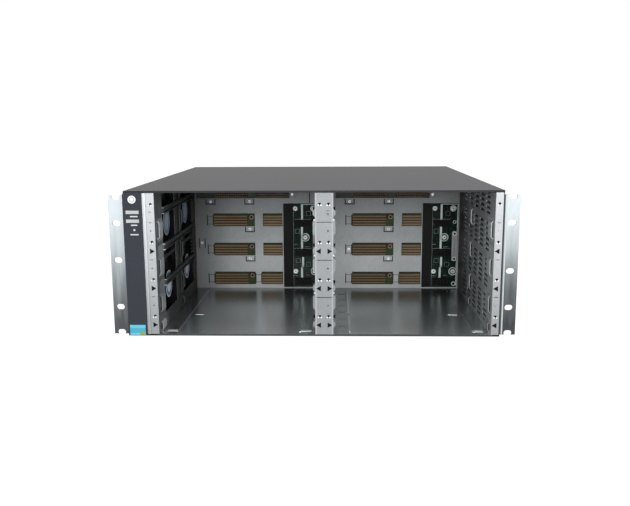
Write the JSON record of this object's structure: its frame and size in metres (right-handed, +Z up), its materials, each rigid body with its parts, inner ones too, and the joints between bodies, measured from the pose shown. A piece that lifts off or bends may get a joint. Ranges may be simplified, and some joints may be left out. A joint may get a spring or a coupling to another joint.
{
  "type": "modular chassis switch",
  "caption": "Rack-mount modular switch chassis, empty: open module bays, slot backplane, power boards, a side fan tray that slides out at the rear, and rear power-supply bays.",
  "frame": {"origin": "on the supporting surface, under the middle of the whole outline", "axes": "+X to the right as seen from the front, +Y from the front to the rear, +Z up"},
  "size_m": [0.4826, 0.4802, 0.1753],
  "materials": {
    "shell_paint": "satin grey paint",
    "galvanised": "zinc coated sheet",
    "post_zinc": "bright zinc plate",
    "guide_plastic": "smooth",
    "bezel_plastic": "fine matt",
    "circuit_board": "solder mask",
    "backplane_olive": "solder mask",
    "connector_gold": "contacts in a moulded block",
    "connector_black": "moulded",
    "header_white": "moulded",
    "light_lens": "clear moulding",
    "fan_plastic": "moulded",
    "screw_steel": "bright plate"
  },
  "bodies": {
    "chassis": {"aux_socket_a": "connector_gold", "aux_socket_b": "connector_gold", "aux_socket_c": "connector_gold", "aux_socket_d": "connector_gold", "aux_socket_e": "connector_gold", "aux_socket_f": "connector_gold", "backplane_board": "backplane_olive", "base_pan": "shell_paint", "bay_divider": "galvanised", "bezel": "bezel_plastic", "board_screws": "screw_steel", "busbar_cover_left": "shell_paint", "busbar_cover_right": "shell_paint", "centre_guide_1": "guide_plastic", "centre_guide_2": "guide_plastic", "centre_guide_3": "guide_plastic", "ear_screws": "screw_steel", "fan_wall": "galvanised", "fault_light": "light_lens", "floor_plate": "galvanised", "left_post": "post_zinc", "management_socket_a": "connector_gold", "management_socket_b": "connector_gold", "management_socket_c": "connector_gold", "management_socket_d": "connector_gold", "mid_post": "post_zinc", "power_board_left": "circuit_board", "power_board_right": "circuit_board", "power_light": "light_lens", "psu_socket_left": "connector_black", "psu_socket_right": "connector_black", "rack_ear_left": "galvanised", "rack_ear_right": "galvanised", "rear_panel": "shell_paint", "right_post": "post_zinc", "signal_socket_a": "connector_gold", "signal_socket_b": "connector_gold", "signal_socket_c": "connector_gold", "signal_socket_d": "connector_gold", "signal_socket_e": "connector_gold", "signal_socket_f": "connector_gold", "slot_plate": "galvanised", "status_header_left": "header_white", "status_header_right": "header_white", "top_cover": "shell_paint", "vent_wall": "galvanised"},
    "fan_tray": {"fan_tray": "galvanised", "tray_handle": "galvanised", "fan_board": "circuit_board", "fan_housing_1": "fan_plastic", "fan_housing_2": "fan_plastic", "fan_housing_3": "fan_plastic", "fan_housing_4": "fan_plastic"},
    "rotor_1": {"fan_rotor_1": "fan_plastic"},
    "rotor_2": {"fan_rotor_2": "fan_plastic"},
    "rotor_3": {"fan_rotor_3": "fan_plastic"},
    "rotor_4": {"fan_rotor_4": "fan_plastic"},
    "captive_top": {"captive_screw_top": "screw_steel"},
    "captive_bottom": {"captive_screw_bottom": "screw_steel"}
  },
  "joints": [
    {"name": "fan_tray_slide", "type": "slide", "parent": "chassis", "child": "fan_tray", "axis": [0, 1, 0], "range_m": [0, 0.435]},
    {"name": "fan_1_spin", "type": "hinge", "parent": "fan_tray", "child": "rotor_1", "pos_m": [-0.19805, -0.16012, 0.128], "axis": [1, 0, 0], "continuous": true},
    {"name": "fan_2_spin", "type": "hinge", "parent": "fan_tray", "child": "rotor_2", "pos_m": [-0.19805, -0.04412, 0.128], "axis": [1, 0, 0], "continuous": true},
    {"name": "fan_3_spin", "type": "hinge", "parent": "fan_tray", "child": "rotor_3", "pos_m": [-0.19805, -0.16012, 0.047], "axis": [1, 0, 0], "continuous": true},
    {"name": "fan_4_spin", "type": "hinge", "parent": "fan_tray", "child": "rotor_4", "pos_m": [-0.19805, -0.04412, 0.047], "axis": [1, 0, 0], "continuous": true},
    {"name": "captive_top_turn", "type": "hinge", "parent": "fan_tray", "child": "captive_top", "pos_m": [-0.18125, 0.22, 0.1621], "axis": [0, 1, 0], "continuous": true},
    {"name": "captive_bottom_turn", "type": "hinge", "parent": "fan_tray", "child": "captive_bottom", "pos_m": [-0.18125, 0.22, 0.0132], "axis": [0, 1, 0], "continuous": true}
  ]
}
